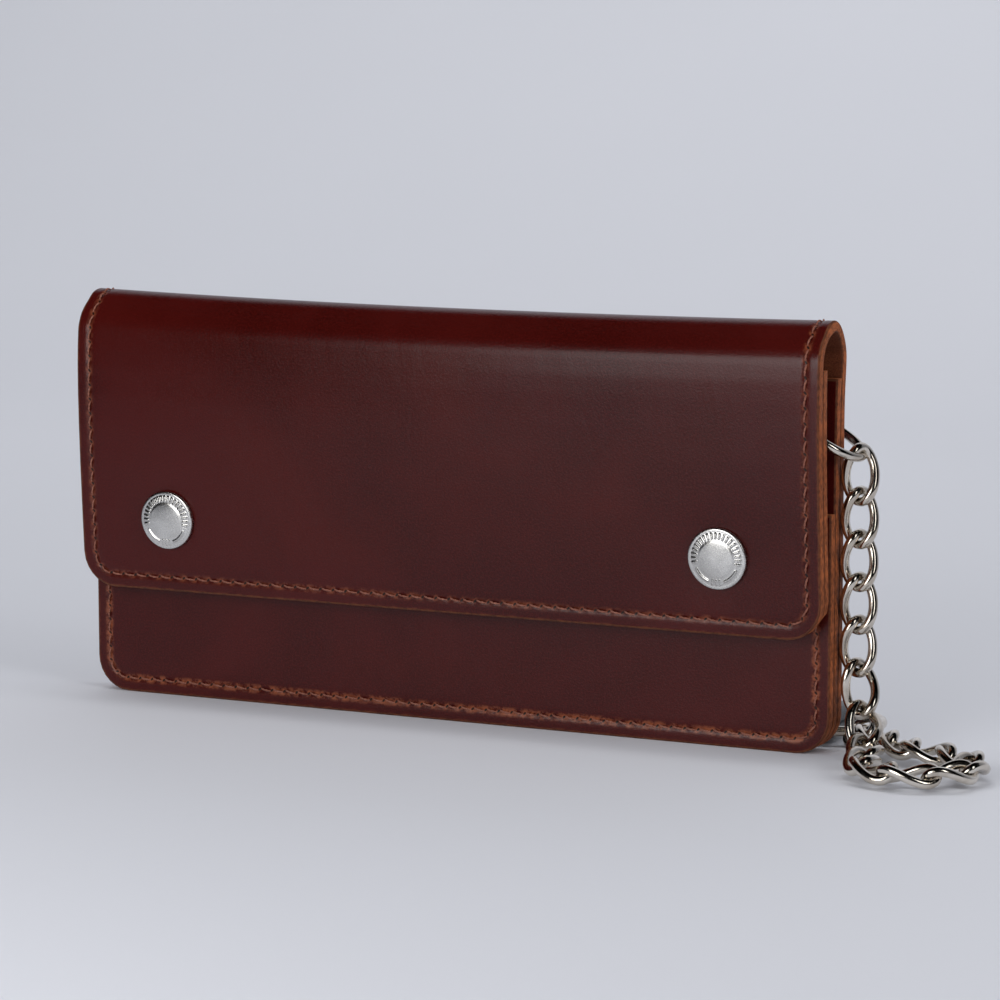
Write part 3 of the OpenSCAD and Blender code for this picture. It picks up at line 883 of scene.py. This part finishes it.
def make_chain():
    joints = chain_joints()
    link_points, link_faces = tube_loop(link_line(), WIRE_D / 2)
    points, faces = [], []
    for k, (azimuth, elevation) in enumerate(HEADINGS):
        roll = math.radians(max(0, FACING_ROLL + azimuth) if elevation < -1 else 0)
        turn = np.array(Matrix.Rotation(math.radians(azimuth), 3, "Z")
                        @ Matrix.Rotation(math.radians(-elevation), 3, "Y") @ Matrix.Rotation(roll, 3, "X"))
        middle = (joints[k] + joints[k + 1]) / 2
        first = len(points)
        points += [tuple(turn @ p + middle) for p in link_points]
        faces += [[first + v for v in f] for f in link_faces]
    return make_object("chain", points, faces, [CHAIN_METAL]), joints


chain, joints = make_chain()

# ---------- belt loop ----------

STRAP_T = 2.2
STRAP_ROUND = 0.45
STRAP_BEVEL = 0.12
STRAP_INSETS = (3.0, 1.8, 1.1)
BAR_R = 1.45
TAIL_DROP, TAIL_STEPS = 8, 8
TAIL_FLAT_FROM, TAIL_END = 9.5, 22


def strap_section(width):
    """The strap's closed outline across it: (y, height) round both rounded edges."""
    half = STRAP_T / 2
    edge = width / 2
    quarter = [(edge - inset, half) for inset in STRAP_INSETS]
    quarter += [(edge - STRAP_ROUND, half), (edge - STRAP_BEVEL, half - STRAP_BEVEL)]
    quarter += [(edge, half - STRAP_ROUND)]
    side = quarter + [(y, -h) for y, h in reversed(quarter)]
    return side + [(-y, -h) for y, h in side]


def strap_piece(name, line, width, middle_y, round_end=0.0):
    """A strap along a line of (x, z) points on its middle plane; its end may be a half round."""
    line = [np.array(p, float) for p in line]
    section = strap_section(width)
    points, faces, facts = [], [], []
    runs = [0.0]
    for a, b in zip(line, line[1:]):
        runs.append(runs[-1] + np.linalg.norm(b - a))
    for k, spot in enumerate(line):
        along = line[min(k + 1, len(line) - 1)] - line[max(k - 1, 0)]
        along = along / np.linalg.norm(along)
        up = np.array([-along[1], along[0]])
        left = runs[-1] - runs[k]
        squeeze = 1.0
        if round_end and left < round_end:
            squeeze = math.sqrt(max(0.0, 1 - ((round_end - left) / round_end) ** 2)) * 0.97 + 0.03
        for y, h in section:
            place = spot + up * h
            points.append((place[0], middle_y + y * squeeze, place[1]))
            facts.append((runs[k] * MM, y * MM))
    n = len(section)
    kinds = []
    for k in range(len(line) - 1):
        for j in range(n):
            a, b = k * n + j, k * n + (j + 1) % n
            faces.append([a, b, b + n, a + n])
            y0, y1 = section[j][0], section[(j + 1) % n][0]
            kinds.append(1 if min(abs(y0), abs(y1)) > width / 2 - STRAP_ROUND - 0.01 else 0)
    faces += [list(reversed(range(n))), [(len(line) - 1) * n + j for j in range(n)]]
    kinds += [1, 1]
    flat = [facts[v] for corners in faces for v in corners]
    seam = [NO_SEAM] * len(flat)
    layers = {"flat": flat, "seam": seam}
    return closed_normals(make_object(name, points, faces, [STRAP, STRAP_EDGE], kinds, layers))


def turn_line(centre, radius, start, end, count=14):
    """Points on a turn, its angles in degrees from +X towards +Z."""
    return [(centre[0] + radius * math.cos(a), centre[1] + radius * math.sin(a))
            for a in np.radians(np.linspace(start, end, count))]


def straight(start, end, count):
    return [tuple(p) for p in np.linspace(start, end, count)]


def make_strap():
    base_low, base_high = box_mm("loop_strap_base")
    tongue_low, tongue_high = box_mm("loop_strap_tongue")
    middle_y = (base_low[1] + base_high[1]) / 2
    width = base_high[1] - base_low[1]
    loop_r = base_high[2] / 2
    wrap_r = BAR_R + STRAP_T
    bar_x = base_high[0] - wrap_r
    fold_x = base_low[0] + loop_r
    bar_mid = wrap_r - STRAP_T / 2
    tail_top = wrap_r + bar_mid
    tail_z = 1.5 * STRAP_T
    line = turn_line((fold_x, loop_r), loop_r - STRAP_T / 2, 90, 270)
    line += straight((fold_x + 2, STRAP_T / 2), (bar_x - 2, STRAP_T / 2), 24)
    line += turn_line((bar_x, wrap_r), bar_mid, -90, 90)
    for k in range(1, TAIL_STEPS + 1):
        share = k / TAIL_STEPS
        line.append((bar_x - TAIL_DROP * share, tail_top + (tail_z - tail_top) * smoothstep(share, 0, 1)))
    line += straight((bar_x - TAIL_FLAT_FROM, tail_z), (bar_x - TAIL_END, tail_z), 8)
    base = strap_piece("loop_strap_base_piece", line, width, middle_y)
    tongue_z = (tongue_low[2] + tongue_high[2]) / 2
    end_x = tongue_high[0]
    round_from = end_x - width / 2
    line = straight((tongue_low[0], tongue_z), (round_from, tongue_z), 24)
    line += [(round_from + width / 2 * math.sin(a), tongue_z) for a in np.linspace(0.08, math.pi / 2, 16)]
    tongue = strap_piece("loop_strap_tongue_piece", line, width, middle_y, round_end=width / 2)
    return base, tongue


strap_base, strap_tongue = make_strap()


def loop_cap_piece():
    low, high = box_mm("loop_snap_cap")
    tongue_top = box_mm("loop_strap_tongue")[1][2]
    middle = (low + high) / 2
    profile = cap_profile(CAP_R, CAP_EDGE, CAP_CROWN)

    def place(a, b, height):
        return (middle[0] + a, middle[1] + b, tongue_top + height)

    return turned("loop_snap_cap_piece", profile, place, SATIN, CAP_AROUND, cap_ornament)


loop_cap = loop_cap_piece()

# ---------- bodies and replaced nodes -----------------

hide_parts("shell_back", "shell_fold")
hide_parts("shell_flap")
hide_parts("flap_lining")
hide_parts("front_panel")
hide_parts("inner_panel")
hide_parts("thread_back", "thread_fold")
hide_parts("thread_flap")
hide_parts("thread_front")
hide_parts("snap_cap_left")
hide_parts("snap_cap_right")
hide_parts("chain_hanging", "chain_floor")
for piece in (shell_rear, thread_rear):
    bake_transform(piece)
for piece in (shell_front, thread_front):
    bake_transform(piece)
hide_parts("loop_strap_base")
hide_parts("loop_strap_tongue")
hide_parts("loop_snap_cap")
for piece in (lining, cap_left, cap_right):
    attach(piece, "flap")
for piece in (front_panel, inner_panel, thread_body, chain, strap_base):
    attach(piece, "root")
for piece in (strap_tongue, loop_cap):
    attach(piece, "belt_loop_tongue")
for slot, pieces in (("shell_leather", (shell_rear, shell_front)), ("lining_leather", (lining,)),
                     ("panel_leather", (front_panel, inner_panel)),
                     ("stitching", (thread_rear, thread_front, thread_body)),
                     ("snap_caps", (cap_left, cap_right, loop_cap)), ("chain_metal", (chain,)),
                     ("strap_leather", (strap_base, strap_tongue))):
    for piece in pieces:
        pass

DULL_NODES = ["snap_socket_left", "snap_socket_right", "snap_stud_left", "snap_stud_right",
              "snap_post_left", "snap_post_right", "eyelet", "eyelet_washer",
              "loop_snap_socket", "loop_snap_stud", "loop_snap_post"]
POLISHED_NODES = ["wallet_ring", "end_ring", "d_ring"]
for nodes, material in ((DULL_NODES, DULL), (POLISHED_NODES, CHAIN_METAL)):
    for node in nodes:
        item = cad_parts[node]
        item.data.materials.clear()
        item.data.materials.append(material)

# ---------- the chain's joints in metres, computed and not used ---

[c * MM for c in joints[0]]
[[c * MM for c in p] for p in joints]

# ---------- studio ----------


def flat_material(name, color, roughness):
    n = Nodes(name)
    spot = n.add("TexCoord").outputs["Object"]
    soft = n.noise(spot, 3, 2)
    return n.finish(n.mix(n.ramp(soft, 0.3, 0.7), color, tuple(c * 0.985 for c in color)), roughness)


def make_stage():
    """A seamless sweep: floor, a round turn-up and a wall."""
    front, depth, wall, radius, half_w = -2.2, 1.6, 2.4, 0.9, 4.0
    profile = [(front, 0.0), (depth - radius, 0.0)]
    profile += [(depth - radius + radius * math.sin(a), radius - radius * math.cos(a))
                for a in np.linspace(0, math.pi / 2, 24)[1:]]
    profile += [(depth, wall)]
    points = [(side * half_w / MM, y / MM, z / MM) for side in (-1, 1) for y, z in profile]
    count = len(profile)
    faces = [[k, k + count, k + count + 1, k + 1] for k in range(count - 1)]
    sweep = make_object("sweep", points, faces, [flat_material("sweep_paper", (0.68, 0.69, 0.74), 0.7)])


def area_light(name, place, target, size, power, glossy=True):
    data = bpy.data.lights.new(name, "AREA")
    data.shape = "RECTANGLE"
    data.size, data.size_y = size
    data.energy = power
    light = bpy.data.objects.new(name, data)
    light.location = place
    direction = Vector(target) - Vector(place)
    light.rotation_euler = direction.to_track_quat("-Z", "Y").to_euler()
    light.visible_glossy = glossy
    bpy.context.scene.collection.objects.link(light)


def make_studio():
    world = bpy.data.worlds.new("studio")
    world.use_nodes = True
    sky = world.node_tree.nodes["Background"]
    sky.inputs["Color"].default_value = (0.93, 0.96, 1.0, 1)
    sky.inputs["Strength"].default_value = 0.28
    world.cycles_visibility.glossy = False
    bpy.context.scene.world = world
    area_light("top_soft", (0.0, -0.1, 1.2), (0, 0, 0), (1.4, 1.0), 1.3, glossy=False)
    area_light("wall_soft", (-0.35, 0.1, 1.6), (-0.5, 1.6, 1.0), (1.6, 0.6), 21, glossy=False)
    area_light("card_left", (-0.07, -0.53, 0.21), (0, 0, 0.07), (0.30, 0.30), 1.25)
    area_light("near_camera", (0.10, -1.30, 0.50), (0, 0, 0.05), (0.5, 0.3), 0.9)
    area_light("right_fill", (1.10, -0.25, 0.45), (0.1, 0, 0.05), (0.6, 0.6), 4.4, glossy=False)
    area_light("right_strip", (0.90, -0.50, 0.60), (0.1, 0, 0.05), (0.2, 0.6), 1.2)


make_stage()
make_studio()
bpy.context.scene.view_settings.view_transform = "Standard"
